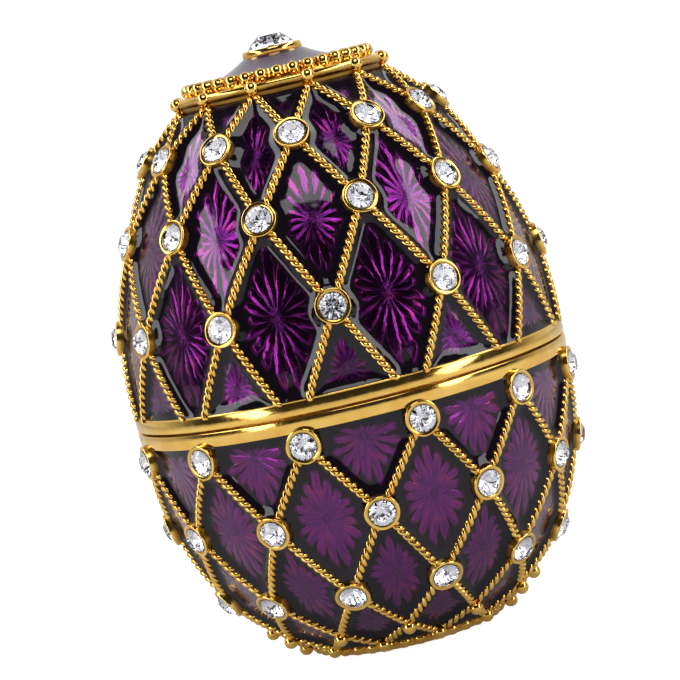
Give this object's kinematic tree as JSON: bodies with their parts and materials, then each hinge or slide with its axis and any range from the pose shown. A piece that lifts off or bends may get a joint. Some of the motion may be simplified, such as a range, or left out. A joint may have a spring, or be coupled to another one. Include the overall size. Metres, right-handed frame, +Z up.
{
  "type": "jewelled egg trinket box",
  "caption": "Egg-shaped trinket box whose upper half lifts off, with purple enamel in a gold rope lattice and rows of small set crystals.",
  "frame": {"origin": "centre of the underside, on the plane of the flat foot ring", "axes": "+Z up along the egg's axis of symmetry; -Y towards the viewer of the picture, where a crystal of row 1 faces"},
  "size_m": [0.0522, 0.0522, 0.0715],
  "materials": {
    "gold_casting": "polished gold-coloured plate, glossy translucent purple enamel in the cells",
    "crystal": "brilliant-cut clear crystal with a mirror foil back",
    "enamel": "translucent purple enamel over engine-turned sunbursts, glossy"
  },
  "bodies": {
    "root": {"lid_shell": "gold_casting", "base_shell": "gold_casting", "crown_crystal": "crystal", "crystal_row1_01": "crystal", "crystal_row1_02": "crystal", "crystal_row1_03": "crystal", "crystal_row1_04": "crystal", "crystal_row1_05": "crystal", "crystal_row1_06": "crystal", "crystal_row1_07": "crystal", "crystal_row1_08": "crystal", "crystal_row1_09": "crystal", "crystal_row1_10": "crystal", "crystal_row1_11": "crystal", "crystal_row1_12": "crystal", "crystal_row2_01": "crystal", "crystal_row2_02": "crystal", "crystal_row2_03": "crystal", "crystal_row2_04": "crystal", "crystal_row2_05": "crystal", "crystal_row2_06": "crystal", "crystal_row2_07": "crystal", "crystal_row2_08": "crystal", "crystal_row2_09": "crystal", "crystal_row2_10": "crystal", "crystal_row2_11": "crystal", "crystal_row2_12": "crystal", "crystal_row3_01": "crystal", "crystal_row3_02": "crystal", "crystal_row3_03": "crystal", "crystal_row3_04": "crystal", "crystal_row3_05": "crystal", "crystal_row3_06": "crystal", "crystal_row3_07": "crystal", "crystal_row3_08": "crystal", "crystal_row3_09": "crystal", "crystal_row3_10": "crystal", "crystal_row3_11": "crystal", "crystal_row3_12": "crystal", "crystal_row4_01": "crystal", "crystal_row4_02": "crystal", "crystal_row4_03": "crystal", "crystal_row4_04": "crystal", "crystal_row4_05": "crystal", "crystal_row4_06": "crystal", "crystal_row4_07": "crystal", "crystal_row4_08": "crystal", "crystal_row4_09": "crystal", "crystal_row4_10": "crystal", "crystal_row4_11": "crystal", "crystal_row4_12": "crystal"}
  },
  "joints": []
}
